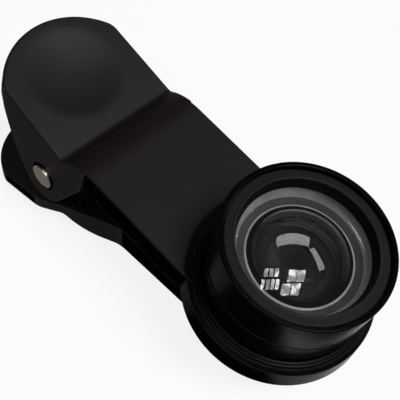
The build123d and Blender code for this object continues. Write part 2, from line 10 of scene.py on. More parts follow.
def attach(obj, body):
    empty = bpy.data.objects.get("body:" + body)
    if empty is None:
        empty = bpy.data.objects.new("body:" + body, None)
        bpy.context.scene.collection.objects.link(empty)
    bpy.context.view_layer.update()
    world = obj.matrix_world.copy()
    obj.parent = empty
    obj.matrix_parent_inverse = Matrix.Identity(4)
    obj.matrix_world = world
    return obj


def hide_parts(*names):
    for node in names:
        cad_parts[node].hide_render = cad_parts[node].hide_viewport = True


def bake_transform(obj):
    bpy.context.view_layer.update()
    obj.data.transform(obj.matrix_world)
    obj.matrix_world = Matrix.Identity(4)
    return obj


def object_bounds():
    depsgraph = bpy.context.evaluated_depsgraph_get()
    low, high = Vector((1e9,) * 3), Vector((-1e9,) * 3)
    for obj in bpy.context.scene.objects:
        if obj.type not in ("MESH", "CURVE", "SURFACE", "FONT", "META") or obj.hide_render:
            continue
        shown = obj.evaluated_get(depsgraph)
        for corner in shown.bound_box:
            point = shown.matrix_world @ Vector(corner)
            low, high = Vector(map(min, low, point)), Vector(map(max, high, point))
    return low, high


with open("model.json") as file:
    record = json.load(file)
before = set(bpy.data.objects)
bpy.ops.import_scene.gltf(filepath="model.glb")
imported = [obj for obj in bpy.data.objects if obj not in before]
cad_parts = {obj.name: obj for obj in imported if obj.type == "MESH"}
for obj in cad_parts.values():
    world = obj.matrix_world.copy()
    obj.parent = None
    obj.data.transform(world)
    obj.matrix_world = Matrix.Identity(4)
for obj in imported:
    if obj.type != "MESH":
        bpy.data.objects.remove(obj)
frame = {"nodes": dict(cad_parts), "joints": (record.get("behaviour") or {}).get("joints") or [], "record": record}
cad_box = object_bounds()

# Sizes are in millimetres and are turned into metres where a mesh is made. The lens frame has
# its origin on the phone face, its third axis along the lens and its first along the clip.
MM = 0.001
mounts = {m["name"]: m for m in frame["record"]["mounts"]}
joints = {j["name"]: j for j in frame["joints"]}
lens_up = -Vector(mounts["phone_face"]["axis"])
lens_forward = Vector((0, 1, 0)).cross(lens_up)
lens_frame = Matrix((lens_forward, (0, 1, 0), lens_up)).transposed()
lens_lean = math.atan2(lens_up.x, lens_up.z)
pin_point = Vector(joints["jaw_hinge"]["pos_m"]) / MM
pin_frame = Matrix(((1, 0, 0), (0, 0, 1), (0, -1, 0))).transposed()
lower_out = -Vector(mounts["lower_pad_face"]["axis"])
lower_forward = lower_out.cross(Vector((0, 1, 0)))


def in_frame(node, axes, origin=Vector()):
    """A node's points in millimetres, along three axes from an origin."""
    points = np.array([v.co for v in frame["nodes"][node].data.vertices]) / MM
    return (points - np.array(origin)) @ np.array(axes)


def along_lens(node):
    """Lowest and highest point of a node along the lens's axis, and its reach from that axis."""
    local = in_frame(node, lens_frame)
    return local[:, 2].min(), local[:, 2].max(), np.hypot(local[:, 0], local[:, 1]).max()


# Heights along the lens's axis, from the frame
stub_end, joint_height, _ = along_lens("macro_barrel")
wide_stub_end, rim_top, _ = along_lens("wide_barrel")
front_ring_low, front_ring_top, front_ring_reach = along_lens("front_retaining_ring")
front_glass_low, _, front_glass_reach = along_lens("front_glass")
spacer_low, spacer_high, spacer_reach = along_lens("spacer_ring")
macro_glass_low, _, macro_glass_reach = along_lens("macro_glass")
rear_front_low, rear_front_high, rear_reach = along_lens("rear_glass_front")
rear_back_low, rear_back_high, _ = along_lens("rear_glass_back")
pad_low, pad_high, pad_reach = along_lens("upper_pad")

# Turned parts of the two lenses
edge = 0.14                  # rounding of the turned edges
flange_radius = 13.3
flange_height = 1.75
flange_seat = 4.66
macro_foot = 12.3
macro_radius = 12.5
stub_radius = 8.97
macro_throat = 6.6
macro_socket = 10.0
socket_depth = 4.0
macro_glass_edge = 1.4
macro_glass_bulge = 1.1
rim_radius = 12.37
rim_wall = 0.75
wide_stub = 9.95
rear_throat = 5.0
rear_bulge = 0.7
rear_back_bulge = 0.3
cement_bulge = 0.5
web_low = rear_front_high - rear_bulge
seam_width = 0.2
seam_depth = 0.5
front_ring_inner = 9.92
front_ring_throat = 9.45
hollow_radius = 7.6
hollow_depth = 3.0
blacked_radius = 6.75        # the hollow is inked black outside it
ground_line = 8.75           # where the finely ground back meets the coarser side
ground_rise = 2.0            # of the ground back, from the hollow's rim to the glass's side
front_bulge = 0.7
retainer_width = 0.85
clearance = 0.02
thread_pitch = 0.6
thread_depth = 0.26
thread_rows = 8              # rows of points to each turn of a thread
turned_steps = 192           # columns of a turned piece
tiny = 1e-6                  # lengths below it count as none
near = 1e-3                  # radii this close count as the same

# Pin, spring and pads
pin_radius = 1.25
pin_head_height = 0.95
wire_radius = 0.44
coil_radius = 2.4
coil_turns = 5.33
coil_half_length = 3.46
coil_start_angle = 37.23     # of the upper leg's end of the coil, from upright towards +X
leg_length = 11.45
pad_bore = 9.6
pad_round = 0.3


# Section outlines


def softened(corners):
    """Points and outward normals of a closed section, each corner (radius, height, round) an arc."""
    arc_share = 0.45             # the most that a corner's arc takes of either side
    slight_turn = 0.35           # radians, below which a corner without a round stays a point
    arc_step = 0.3               # radians
    loop = [Vector(c[:2]) for c in corners]
    rounds = [c[2] if len(c) > 2 else edge for c in corners]
    area = sum(a.x * b.y - b.x * a.y for a, b in zip(loop, loop[1:] + loop[:1]))
    side = 1 if area > 0 else -1
    points = []
    for i, corner in enumerate(loop):
        before = loop[i - 1] - corner
        after = loop[(i + 1) % len(loop)] - corner
        arrive, leave = -before.normalized(), after.normalized()
        turn = math.atan2(arrive.x * leave.y - arrive.y * leave.x, arrive.dot(leave))
        normal_in = Vector((arrive.y, -arrive.x)) * side
        normal_out = Vector((leave.y, -leave.x)) * side
        longest = arc_share * min(before.length, after.length)
        reach = min(rounds[i] * abs(math.tan(turn / 2)), longest)
        if abs(turn) < slight_turn and reach < tiny or corner.x < tiny:
            points.append((corner, (normal_in + normal_out).normalized()))
            continue
        radius = reach / max(abs(math.tan(turn / 2)), 1e-9)
        start = corner - arrive * reach
        centre = start + Vector((-arrive.y, arrive.x)) * radius * (1 if turn > 0 else -1)
        steps = max(2, math.ceil(abs(turn) / arc_step))
        for k in range(steps + 1):
            bend = Matrix.Rotation(turn * k / steps, 2)
            points.append((centre + bend @ (start - centre), bend @ normal_in))
    return points


def with_spans(points, threads):
    """The same points with more of them along the stretches that carry a thread."""
    spaced = []
    for (a, normal_a), (b, normal_b) in zip(points, points[1:] + points[:1]):
        spaced.append((a, normal_a))
        on_thread = any(max(abs(a.x - t["radius"]), abs(b.x - t["radius"])) < near for t in threads)
        if on_thread and a.y != b.y:
            rows = int(abs(b.y - a.y) / (thread_pitch / thread_rows))
            spaced += [(a.lerp(b, k / rows), normal_a) for k in range(1, rows)]
    return spaced


def thread_offset(radius, height, angle, threads):
    """How deep the thread is cut at this point: a helical V that fades out at both ends."""
    flank = 0.8                  # below 1 the flanks of the V bulge a little
    for t in threads:
        if abs(radius - t["radius"]) < near and t["low"] < height < t["high"]:
            phase = (height / thread_pitch + angle / math.tau) % 1
            fade = min(1, (height - t["low"]) / thread_pitch, (t["high"] - height) / thread_pitch)
            return t["cut"] * thread_depth * fade * (1 - abs(2 * phase - 1)) ** flank
    return 0.0


def dome_arc(radius, edge_height, bulge, steps=20):
    """Points of a polished curve, from its edge to the axis."""
    curve = (radius ** 2 + bulge ** 2) / (2 * abs(bulge))
    sign = 1 if bulge > 0 else -1
    points = []
    for k in range(1, steps + 1):
        r = radius * (1 - k / steps)
        sag = curve - math.sqrt(curve ** 2 - r ** 2)
        points.append((r, edge_height + bulge - sign * sag, 0))
    return points


# Meshes


def piece_of(name, vertices, faces, finishes, body=None):
    """A mesh piece from points in millimetres, which rides on a body if one is named."""
    mesh = bpy.data.meshes.new(name)
    mesh.from_pydata([tuple(Vector(v) * MM) for v in vertices], [], faces)
    mesh.polygons.foreach_set("use_smooth", [True] * len(mesh.polygons))
    mesh.update()
    outside = bmesh.new()
    outside.from_mesh(mesh)
    bmesh.ops.recalc_face_normals(outside, faces=outside.faces)
    outside.to_mesh(mesh)
    outside.free()
    for finish in finishes:
        mesh.materials.append(finish)
    piece = bpy.data.objects.new(name, mesh)
    bpy.context.scene.collection.objects.link(piece)
    if body:
        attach(piece, body)
    return piece


def turned(name, corners, body, finishes, threads=(), placing=None, origin=(0, 0, 0), finish_of=None):
    """A turned piece: a closed section swept round an axis. A corner on the axis closes it there."""
    turn = np.array(placing or lens_frame)
    profile = with_spans(softened(corners), threads)
    vertices, normals, threaded, rings = [], [], [], []
    for point, normal in profile:
        if point.x < tiny:
            rings.append([len(vertices)])
            vertices.append((0, 0, point.y))
            normals.append((0, 0, 1 if normal.y > 0 else -1))
            threaded.append(False)
            continue
        rings.append(list(range(len(vertices), len(vertices) + turned_steps)))
        on_thread = any(abs(point.x - t["radius"]) < near for t in threads)
        for j in range(turned_steps):
            angle = math.tau * j / turned_steps
            radius = point.x + thread_offset(point.x, point.y, angle, threads)
            vertices.append((radius * math.cos(angle), radius * math.sin(angle), point.y))
            normals.append((normal.x * math.cos(angle), normal.x * math.sin(angle), normal.y))
            threaded.append(on_thread)
    faces, face_rows = [], []
    for row, (low, high) in enumerate(zip(rings, rings[1:] + rings[:1])):
        if len(low) == 1 and len(high) == 1:
            continue
        for j in range(turned_steps):
            a, b = low[j % len(low)], low[(j + 1) % len(low)]
            c, d = high[(j + 1) % len(high)], high[j % len(high)]
            faces.append(tuple(dict.fromkeys((a, b, c, d))))
            face_rows.append(row)
    piece = piece_of(name, [turn @ v + np.array(origin) for v in np.array(vertices)], faces, finishes, body)
    mesh = piece.data
    placed_normals = [Vector(turn @ np.array(n)) for n in normals]
    if sum(p.normal.dot(placed_normals[p.vertices[0]]) for p in mesh.polygons) < 0:
        mesh.flip_normals()
    for i, is_thread in enumerate(threaded):
        if is_thread:
            placed_normals[i] = mesh.vertices[i].normal.copy()
    mesh.normals_split_custom_set_from_vertices(placed_normals)
    if finish_of:
        ends = [(profile[row][0], profile[(row + 1) % len(profile)][0]) for row in face_rows]
        mesh.polygons.foreach_set("material_index", [finish_of(a, b) for a, b in ends])
    return piece


def stands_for(node):
    """The piece takes a node's place."""
    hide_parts(node)


# Shader helpers


def group(name, inputs, outputs):
    """An empty node group with its sockets: {name: default} and a list of names."""
    tree = bpy.data.node_groups.new(name, "ShaderNodeTree")
    for label, default in inputs.items():
        socket = tree.interface.new_socket(label, in_out="INPUT", socket_type="NodeSocketFloat")
        socket.default_value = default
    for label in outputs:
        tree.interface.new_socket(label, in_out="OUTPUT", socket_type="NodeSocketFloat")
    return tree, tree.nodes.new("NodeGroupInput").outputs, tree.nodes.new("NodeGroupOutput").inputs


def feed(tree, socket, value):
    """Links a socket into another, or sets its value."""
    if isinstance(value, bpy.types.NodeSocket):
        tree.links.new(value, socket)
    else:
        socket.default_value = value


def node(tree, kind, settings=None, **inputs):
    """A node with its settings and its inputs, by name or as i0, i1 and so on."""
    made = tree.nodes.new("ShaderNode" + kind)
    for key, value in (settings or {}).items():
        setattr(made, key, value)
    for key, value in inputs.items():
        numbered = key[0] == "i" and key[1:].isdigit()
        feed(tree, made.inputs[int(key[1:]) if numbered else key.replace("_", " ")], value)
    return made


def maths(tree, operation, a, b=0.0):
    """One operation on two values or sockets."""
    return node(tree, "Math", {"operation": operation}, i0=a, i1=b).outputs[0]


def ramp(tree, value, low, high, start=0.0, end=1.0):
    """A value's stretch from low to high, spread smoothly over start to end."""
    ends = {"From_Min": low, "From_Max": high, "To_Min": start, "To_Max": end}
    return node(tree, "MapRange", {"interpolation_type": "SMOOTHSTEP"}, Value=value, **ends).outputs[0]


def mixed(tree, share, a, b):
    """Two colours mixed by a share."""
    made = node(tree, "Mix", {"data_type": "RGBA"}, i0=share, i6=a, i7=b)
    return made.outputs[2]


def noise(tree, place, size_mm, detail=3.0, rough=0.6, warp=0.0):
    """A noise whose features are about a size in millimetres."""
    scale = maths(tree, "DIVIDE", 1 / MM, size_mm)
    texture = {"Scale": scale, "Detail": detail, "Roughness": rough, "Distortion": warp}
    return node(tree, "TexNoise", None, Vector=place, **texture).outputs[0]


def bump(tree, height, depth_mm, strength=1.0):
    """A bump whose full height is a depth in millimetres."""
    return node(tree, "Bump", None, Height=height, Distance=depth_mm * MM, Strength=strength).outputs[0]


def here(tree):
    """The point on the object."""
    return node(tree, "TexCoord").outputs["Object"]


def placed(tree, name, **inputs):
    """A shared group placed in a material, with its own values."""
    made = tree.nodes.new("ShaderNodeGroup")
    made.node_tree = bpy.data.node_groups[name]
    for key, value in inputs.items():
        feed(tree, made.inputs[key.replace("_", " ")], value)
    return made.outputs


def finish_named(name, **constants):
    """A new material, its tree and its shader's sockets, with the constant ones set."""
    made = bpy.data.materials.new(name)
    made.use_nodes = True
    sockets = made.node_tree.nodes["Principled BSDF"].inputs
    for key, value in constants.items():
        sockets[key.replace("_", " ")].default_value = value
    return made, made.node_tree, sockets


def grey(value, warm=0.0):
    """A grey, with more red and less blue the warmer it is."""
    return (value * (1 + warm), value, value * (1 - warm), 1)


# Shared effects


def mould_grain_group():
    """Spark-eroded grain of a mould: fine pits, with a coarser drift of the shade."""
    tree, put, out = group("mould grain", {"Pit Size": 0.16, "Drift Size": 9.0}, ["Height", "Drift"])
    place = here(tree)
    feed(tree, out["Height"], noise(tree, place, put["Pit Size"]))
    drift = noise(tree, place, put["Drift Size"], 4.0, 0.55)
    feed(tree, out["Drift"], ramp(tree, drift, 0.3, 0.7))


def dust_group():
    """Scattered specks of dust and lint."""
    tree, put, out = group("dust", {"Spacing": 2.2, "Speck": 0.09}, ["Mask"])
    place = here(tree)
    warp = node(tree, "TexNoise", None, Vector=place, Scale=900.0, Detail=2.0).outputs["Color"]
    pull = (0.4 * MM, 0.4 * MM, 0.4 * MM)
    bent = node(tree, "VectorMath", {"operation": "MULTIPLY_ADD"}, i0=warp, i1=pull, i2=place)
    scale = maths(tree, "DIVIDE", 1 / MM, put["Spacing"])
    cells = node(tree, "TexVoronoi", {"feature": "F1"}, Vector=bent.outputs[0], Scale=scale)
    chance = node(tree, "SeparateColor", None, Color=cells.outputs["Color"]).outputs
    size = maths(tree, "MULTIPLY", put["Speck"], chance[0])
    small = maths(tree, "SUBTRACT", size, cells.outputs["Distance"])
    sparse = ramp(tree, chance[1], 0.55, 0.7)
    feed(tree, out["Mask"], maths(tree, "MULTIPLY", ramp(tree, small, 0.0, 0.02), sparse))


def edge_wear_highlight_group():
    """Edges that handling has polished, found from how the surface bends within a radius. The finishes paint them
    lighter, partly as a painted highlight.
    """
    tree, put, out = group("edge wear and highlight", {"Reach": 0.3}, ["Mask"])
    flat = node(tree, "NewGeometry").outputs["Normal"]
    soft = node(tree, "Bevel", {"samples": 6}, Radius=maths(tree, "MULTIPLY", put["Reach"], MM))
    alike = node(tree, "VectorMath", {"operation": "DOT_PRODUCT"}, i0=soft.outputs[0], i1=flat)
    mask = ramp(tree, alike.outputs["Value"], 0.995, 0.9)
    wear = ramp(tree, noise(tree, here(tree), 1.4), 0.35, 0.6, 0.35, 1.0)
    feed(tree, out["Mask"], maths(tree, "MULTIPLY", mask, wear))


def lathe_marks_group():
    """Fine rings that a lathe leaves, round the lens's axis, by radius and by height."""
    tree, put, out = group("lathe marks", {"Pitch": 0.12}, ["Height", "Shade"])
    upright = node(tree, "VectorRotate", {"rotation_type": "Y_AXIS"}, Vector=here(tree), Angle=-lens_lean)
    xyz = node(tree, "SeparateXYZ", None, Vector=upright.outputs[0]).outputs
    across = node(tree, "CombineXYZ", None, X=xyz[0], Y=xyz[1])
    radius = node(tree, "VectorMath", {"operation": "LENGTH"}, i0=across.outputs[0]).outputs["Value"]
    per_height = 1.37            # so that walls and faces both show rings
    run = maths(tree, "ADD", radius, maths(tree, "MULTIPLY", xyz[2], per_height))
    fine = maths(tree, "DIVIDE", run, maths(tree, "MULTIPLY", put["Pitch"], MM))
    for label, step in (("Height", 1.0), ("Shade", 0.09)):
        along = maths(tree, "MULTIPLY", fine, step)
        marks = node(tree, "TexNoise", {"noise_dimensions": "1D"}, W=along, Scale=1.0, Detail=3.0)
        feed(tree, out[label], marks.outputs[0])


def touch_group():
    """Faint patches where fingers have touched, which change how glossy a surface is."""
    tree, put, out = group("touch", {"Size": 7.0}, ["Mask"])
    feed(tree, out["Mask"], ramp(tree, noise(tree, here(tree), put["Size"], 5.0, 0.65, 0.6), 0.42, 0.62))


for make_group in (mould_grain_group, dust_group, edge_wear_highlight_group, lathe_marks_group, touch_group):
    make_group()


# Finishes


def moulded_plastic():
    """The clip's black plastic: matt, with painted shade and a smoother finish on upright walls and by the flange.
    """
    side_facing = (0.9946, 0.9966)             # how squarely the arm's walls face sideways
    ring_edge = (16.5 * MM, 15.5 * MM)         # reach from the lens's axis
    flange_edge = (14.9 * MM, 14.3 * MM)
    dark_grain, light_grain = (0.0040, 0.0018, 0.0017, 1), (0.0052, 0.0026, 0.0024, 1)
    painted_shade_black, edge_highlight_grey = (0.0010, 0.0009, 0.0009, 1), (0.050, 0.046, 0.044, 1)
    dust_grey = (0.10, 0.095, 0.09, 1)
    made, tree, out = finish_named("clip moulded plastic")
    grain = placed(tree, "mould grain", Pit_Size=0.17, Drift_Size=11.0)
    specks = placed(tree, "dust", Spacing=3.1, Speck=0.07)["Mask"]
    edges = placed(tree, "edge wear and highlight", Reach=0.35)["Mask"]
    hands = placed(tree, "touch", Size=12.0)["Mask"]
    facing = node(tree, "NewGeometry").outputs["Normal"]
    across = node(tree, "SeparateXYZ", None, Vector=facing).outputs[1]
    # Painted shade masks: the arm's side walls, the ring end's wall and the ring's top beside the flange.
    arm_wall = ramp(tree, maths(tree, "ABSOLUTE", across), *side_facing)
    along = node(tree, "VectorMath", {"operation": "DOT_PRODUCT"}, i0=facing, i1=lens_up).outputs["Value"]
    upright = ramp(tree, maths(tree, "ABSOLUTE", along), 0.34, 0.22)
    sideways = node(tree, "VectorMath", {"operation": "CROSS_PRODUCT"}, i0=here(tree), i1=lens_up)
    reach = node(tree, "VectorMath", {"operation": "LENGTH"}, i0=sideways.outputs[0]).outputs["Value"]
    ring_wall = maths(tree, "MULTIPLY", upright, ramp(tree, reach, *ring_edge))
    beside_flange = ramp(tree, reach, *flange_edge, 0.0, 0.75)
    smooth_wall_painted_shade = maths(tree, "MAXIMUM", maths(tree, "MAXIMUM", arm_wall, ring_wall), beside_flange)
    grained = mixed(tree, grain["Drift"], dark_grain, light_grain)
    # Painted shade: those walls take a near-black colour.
    shade = mixed(tree, smooth_wall_painted_shade, grained, painted_shade_black)
    # Painted shade in reflection: those walls reflect little, and the arm's side walls nothing.
    mirrored = ramp(tree, smooth_wall_painted_shade, 0.0, 1.0, 0.25, 0.02)
    elsewhere = maths(tree, "SUBTRACT", 1.0, arm_wall)
    feed(tree, out["Specular IOR Level"], maths(tree, "MULTIPLY", mirrored, elsewhere))
    # Edges are painted lighter: partly wear, partly a painted highlight.
    worn_and_highlit = mixed(tree, maths(tree, "MULTIPLY", edges, 0.5), shade, edge_highlight_grey)
    dusty = mixed(tree, maths(tree, "MULTIPLY", specks, 0.3), worn_and_highlit, dust_grey)
    feed(tree, out["Base Color"], dusty)
    polish = maths(tree, "ADD", maths(tree, "MULTIPLY", hands, 0.05), maths(tree, "MULTIPLY", edges, 0.12))
    polish = maths(tree, "ADD", polish, maths(tree, "MULTIPLY", smooth_wall_painted_shade, 0.3))
    feed(tree, out["Roughness"], maths(tree, "SUBTRACT", 0.54, polish))
    feed(tree, out["Normal"], bump(tree, grain["Height"], 0.02, 0.6))
    return made


def turned_metal(name, base, rough, marks, specular, edge_coat=0.6, dust=0.55):
    """Anodised metal with lathe marks, faint touches, bright edges that are part wear and part painted highlight,
    and dust.
    """
    made, tree, out = finish_named(name, Specular_IOR_Level=specular, Coat_Roughness=0.12)
    lines = placed(tree, "lathe marks", Pitch=0.1)
    hands = placed(tree, "touch", Size=5.0)["Mask"]
    edges = placed(tree, "edge wear and highlight", Reach=0.18)["Mask"]
    specks = placed(tree, "dust", Spacing=1.3, Speck=0.09)["Mask"]
    shade = mixed(tree, lines["Shade"], grey(base * 0.85, 0.2), grey(base * 1.15, 0.2))
    # Edges are painted lighter: partly wear, partly a painted highlight.
    worn_and_highlit = mixed(tree, maths(tree, "MULTIPLY", edges, 0.5), shade, grey(base * 3 + 0.07, 0.05))
    dusty = mixed(tree, maths(tree, "MULTIPLY", specks, dust), worn_and_highlit, grey(0.16, 0.03))
    feed(tree, out["Base Color"], dusty)
    uneven = maths(tree, "MULTIPLY", maths(tree, "ADD", hands, lines["Shade"]), 0.06)
    feed(tree, out["Roughness"], maths(tree, "ADD", uneven, rough - 0.05))
    feed(tree, out["Coat Weight"], maths(tree, "MULTIPLY", edges, edge_coat))
    feed(tree, out["Normal"], bump(tree, lines["Height"], marks, 0.7))
    return made


def bright_metal(name, base, rough, warm):
    """Plated or drawn steel with fine marks and dull patches."""
    made, tree, out = finish_named(name, Metallic=1.0)
    hands = placed(tree, "touch", Size=1.2)["Mask"]
    grain = placed(tree, "mould grain", Pit_Size=0.08, Drift_Size=1.5)
    feed(tree, out["Base Color"], mixed(tree, grain["Drift"], grey(base * 0.8, warm), grey(base, warm)))
    feed(tree, out["Roughness"], maths(tree, "ADD", maths(tree, "MULTIPLY", hands, 0.14), rough))
    feed(tree, out["Normal"], bump(tree, grain["Height"], 0.004, 0.5))
    return made


def clear_glass(name, tint, film, mirrored=1.0):
    """Polished optical glass with a trace of dust, which lets light through. The film is in nanometres."""
    made, tree, out = finish_named(name, Transmission_Weight=1.0, IOR=1.52, Thin_Film_Thickness=film)
    out["Thin Film IOR"].default_value = 1.38
    out["Specular Tint"].default_value = grey(mirrored)
    specks = placed(tree, "dust", Spacing=1.6, Speck=0.05)["Mask"]
    hands = placed(tree, "touch", Size=4.0)["Mask"]
    feed(tree, out["Base Color"], mixed(tree, maths(tree, "MULTIPLY", specks, 0.25), tint, grey(0.6)))
    feed(tree, out["Roughness"], maths(tree, "MULTIPLY", hands, 0.012))
    see_through = node(tree, "BsdfTransparent", None, Color=grey(0.93))
    passing = node(tree, "MixShader", None, Fac=node(tree, "LightPath").outputs["Is Shadow Ray"])
    tree.links.new(tree.nodes["Principled BSDF"].outputs[0], passing.inputs[1])
    tree.links.new(see_through.outputs[0], passing.inputs[2])
    tree.links.new(passing.outputs[0], tree.nodes["Material Output"].inputs["Surface"])
    return made


def ground_glass(name, dark, light):
    """A ground face of the glass: a drift of the shade and a few chips."""
    made, tree, out = finish_named(name, Specular_IOR_Level=0.1)
    grain = placed(tree, "mould grain", Pit_Size=0.07, Drift_Size=4.0)
    specks = placed(tree, "dust", Spacing=1.5, Speck=0.11)["Mask"]
    shade = mixed(tree, grain["Drift"], grey(dark, -0.01), grey(light, -0.01))
    feed(tree, out["Base Color"], mixed(tree, maths(tree, "MULTIPLY", specks, 0.6), shade, grey(0.8)))
    feed(tree, out["Roughness"], maths(tree, "ADD", maths(tree, "MULTIPLY", grain["Height"], 0.2), 0.7))
    return made


def pad_rubber():
    """Soft black foam rubber with a closed-cell texture."""
    made, tree, out = finish_named("pad foam rubber", Specular_IOR_Level=0.25)
    cells = placed(tree, "mould grain", Pit_Size=0.35, Drift_Size=6.0)
    specks = placed(tree, "dust", Spacing=1.8, Speck=0.1)["Mask"]
    shade = mixed(tree, cells["Drift"], grey(0.010), grey(0.016))
    feed(tree, out["Base Color"], mixed(tree, maths(tree, "MULTIPLY", specks, 0.5), shade, grey(0.15)))
    feed(tree, out["Roughness"], maths(tree, "ADD", maths(tree, "MULTIPLY", cells["Drift"], 0.08), 0.78))
    feed(tree, out["Normal"], bump(tree, cells["Height"], 0.06, 0.8))
    return made


clip_plastic = moulded_plastic()
barrel_black = turned_metal(
    "barrel black anodised", base=0.0012, rough=0.25, marks=0.003, specular=0.04
)
flange_black = turned_metal("flange black anodised", base=0.002, rough=0.30, marks=0.005, specular=0.07)
front_ring_black = turned_metal(
    "front ring satin anodised", base=0.0075, rough=0.42, marks=0.006, specular=0.10, edge_coat=0.3, dust=0.3
)
stopped_black = turned_metal("inside matt black", base=0.002, rough=0.5, marks=0.006, specular=0.06)
pin_nickel = bright_metal("pin nickel plate", base=0.62, rough=0.16, warm=0.12)
spring_steel = bright_metal("spring drawn steel", base=0.55, rough=0.24, warm=0.01)
front_clear = clear_glass("front glass polished", (0.97, 0.965, 0.95, 1), film=0)
rear_clear = clear_glass("rear glass polished", (0.96, 0.93, 0.90, 1), film=130, mirrored=0.08)
macro_clear = clear_glass("macro glass polished", (0.96, 0.97, 0.95, 1), film=120, mirrored=0.2)
ground_side = ground_glass("ground side of the front glass", dark=0.10, light=0.14)
ground_back = ground_glass("ground back of the front glass", dark=0.026, light=0.038)
# Painted highlight: a much paler ground for the hollow's thin rim, for its bright circle.
ground_edge_highlight = ground_glass("ground edge of the hollow, painted bright", dark=0.25, light=0.35)
foam_rubber = pad_rubber()


# The two lenses


def macro_barrel():
    """Base of the lens: flange, straight wall, threaded stub below and threaded socket above."""
    flange_top = flange_seat + flange_height
    socket_floor = joint_height - socket_depth
    glass_bore = macro_glass_reach + clearance
    corners = [
        (macro_throat, stub_end),
        (stub_radius, stub_end, 0.3),
        (stub_radius, flange_seat, 0.05),
        (flange_radius, flange_seat, 0.2),
        (flange_radius, flange_top, 0.3),
        (macro_foot, flange_top, 0.35),
        (macro_radius, joint_height, 0.12),
        (macro_socket, joint_height, 0.3),
        (macro_socket, socket_floor, 0.05),
        (glass_bore, socket_floor),
        (glass_bore, macro_glass_low, 0.05),
        (macro_throat, macro_glass_low),
    ]
    threads = [
        {"radius": stub_radius, "low": stub_end + 0.3, "high": flange_seat - 0.2, "cut": -1},
        {"radius": macro_socket, "low": socket_floor + 0.2, "high": joint_height - 0.3, "cut": 1},
    ]

    def flange(a, b):
        return int(max(a.y, b.y) < flange_top + 0.05 and a.x > stub_radius)

    piece = turned(
        "macro_lens_barrel", corners, "macro_lens", [barrel_black, flange_black], threads, finish_of=flange
    )
    stands_for("macro_barrel")


def wide_barrel():
    """Barrel of the wide-angle lens, with its rim, its seats and its threaded stub."""
    front_bore = rim_radius - rim_wall
    glass_bore = front_glass_reach + clearance
    spacer_bore = spacer_reach + clearance
    corners = [
        (wide_stub, wide_stub_end, 0.3),
        (wide_stub, joint_height, 0.05),
        (rim_radius, joint_height, 0.15),
        (rim_radius, rim_top, 0.22),
        (front_bore, rim_top, 0.2),
        (front_bore, front_ring_low, 0.05),
        (glass_bore, front_ring_low, 0.05),
        (glass_bore, front_glass_low, 0.05),
        (spacer_bore, front_glass_low, 0.05),
        (spacer_bore, spacer_low, 0.05),
        (rear_throat, spacer_low, 0.1),
        (rear_throat, web_low, 0.05),
        (rear_reach + clearance, web_low, 0.05),
        (rear_reach + clearance, wide_stub_end, 0.15),
    ]
    threads = [{"radius": wide_stub, "low": wide_stub_end + 0.3, "high": joint_height - 0.3, "cut": -1}]

    def inside(a, b):
        return int(max(a.x, b.x) < front_bore and a.y > web_low)

    piece = turned(
        "wide_lens_barrel", corners, "wide_lens", [barrel_black, stopped_black], threads, finish_of=inside
    )
    stands_for("wide_barrel")


def front_ring():
    """Ring that holds the front glass, with a fine lip round its mouth."""
    outer = rim_radius - rim_wall - seam_width
    lip_width, lip_height, lip_slope = 0.3, 0.09, 0.1
    lip = front_ring_inner + lip_width
    face = front_ring_top - lip_height
    corners = [
        (front_ring_throat, front_ring_low, 0.03),
        (front_ring_inner, front_ring_top - 0.2, 0.15),
        (front_ring_inner + 0.08, front_ring_top, 0.06),
        (lip, front_ring_top, 0.06),
        (lip + lip_slope, face, 0.1),
        (outer, face, 0.15),
        (outer, front_ring_top - seam_depth, 0.05),
        (front_ring_reach, front_ring_top - seam_depth, 0.03),
        (front_ring_reach, front_ring_low, 0.03),
    ]

    def throat(a, b):
        return int(max(a.x, b.x) < front_ring_inner + 0.02)

    piece = turned("front_ring", corners, "wide_lens", [front_ring_black, stopped_black], finish_of=throat)
    stands_for("front_retaining_ring")


def front_glass():
    """Thick front element: a shallow polished face, a deep hollow with a blacked edge, ground sides."""
    bevel = 0.06
    line_rise = 0.45             # of the ground back at its ground line
    hollow = dome_arc(hollow_radius, front_glass_low, hollow_depth, 34)
    corners = [
        (hollow_radius + bevel, front_glass_low, 0),
        (ground_line, front_glass_low + line_rise, 0),
        (front_glass_reach, front_glass_low + ground_rise, 0.12),
        (front_glass_reach, front_ring_low, 0.12),
        (front_ring_throat, front_ring_low, 0),
        *dome_arc(front_ring_throat, front_ring_low, front_bulge, 28),
        *reversed(hollow),
        (hollow_radius, front_glass_low + bevel * 1.2, 0),
    ]

    def ground(a, b):
        inner, outer = sorted((a.x, b.x))
        if inner > hollow_radius + bevel - 0.01 and max(a.y, b.y) < front_ring_low - 0.01:
            return 1 if inner > ground_line - 0.01 else 2
        if inner > front_ring_throat + 0.01:
            return 1
        if max(a.y, b.y) > front_ring_low - 0.01 or outer < blacked_radius:
            return 0
        # The hollow's rim takes the paler ground, a painted highlight.
        return 4 if outer > hollow_radius - 0.01 else 3

    finishes = [front_clear, ground_side, ground_back, stopped_black, ground_edge_highlight]
    piece = turned("front_lens_glass", corners, "wide_lens", finishes, finish_of=ground)
    stands_for("front_glass")


def spacer():
    """Stepped black ring under the front glass, with fine ridges that stop stray light."""
    ridges = 3
    step_depth = 0.5
    floor = spacer_high - step_depth
    outer, middle, inner = spacer_reach, hollow_radius, 6.5
    corners = [(inner, spacer_low, 0.03), (outer, spacer_low, 0.03), (outer, spacer_high, 0.03)]
    corners += [(middle, spacer_high, 0.05), (middle, floor, 0.05)]
    groove = ((0, 0), (0.06, 0.12), (0.2, 0.12), (0.26, 0))
    for k in range(ridges):
        r = middle - (k + 0.35) * (middle - inner) / ridges
        corners += [(r - step, floor - drop, 0.02) for step, drop in groove]
    corners += [(inner, floor, 0.06)]
    piece = turned("spacer_steps", corners, "wide_lens", [stopped_black])
    stands_for("spacer_ring")


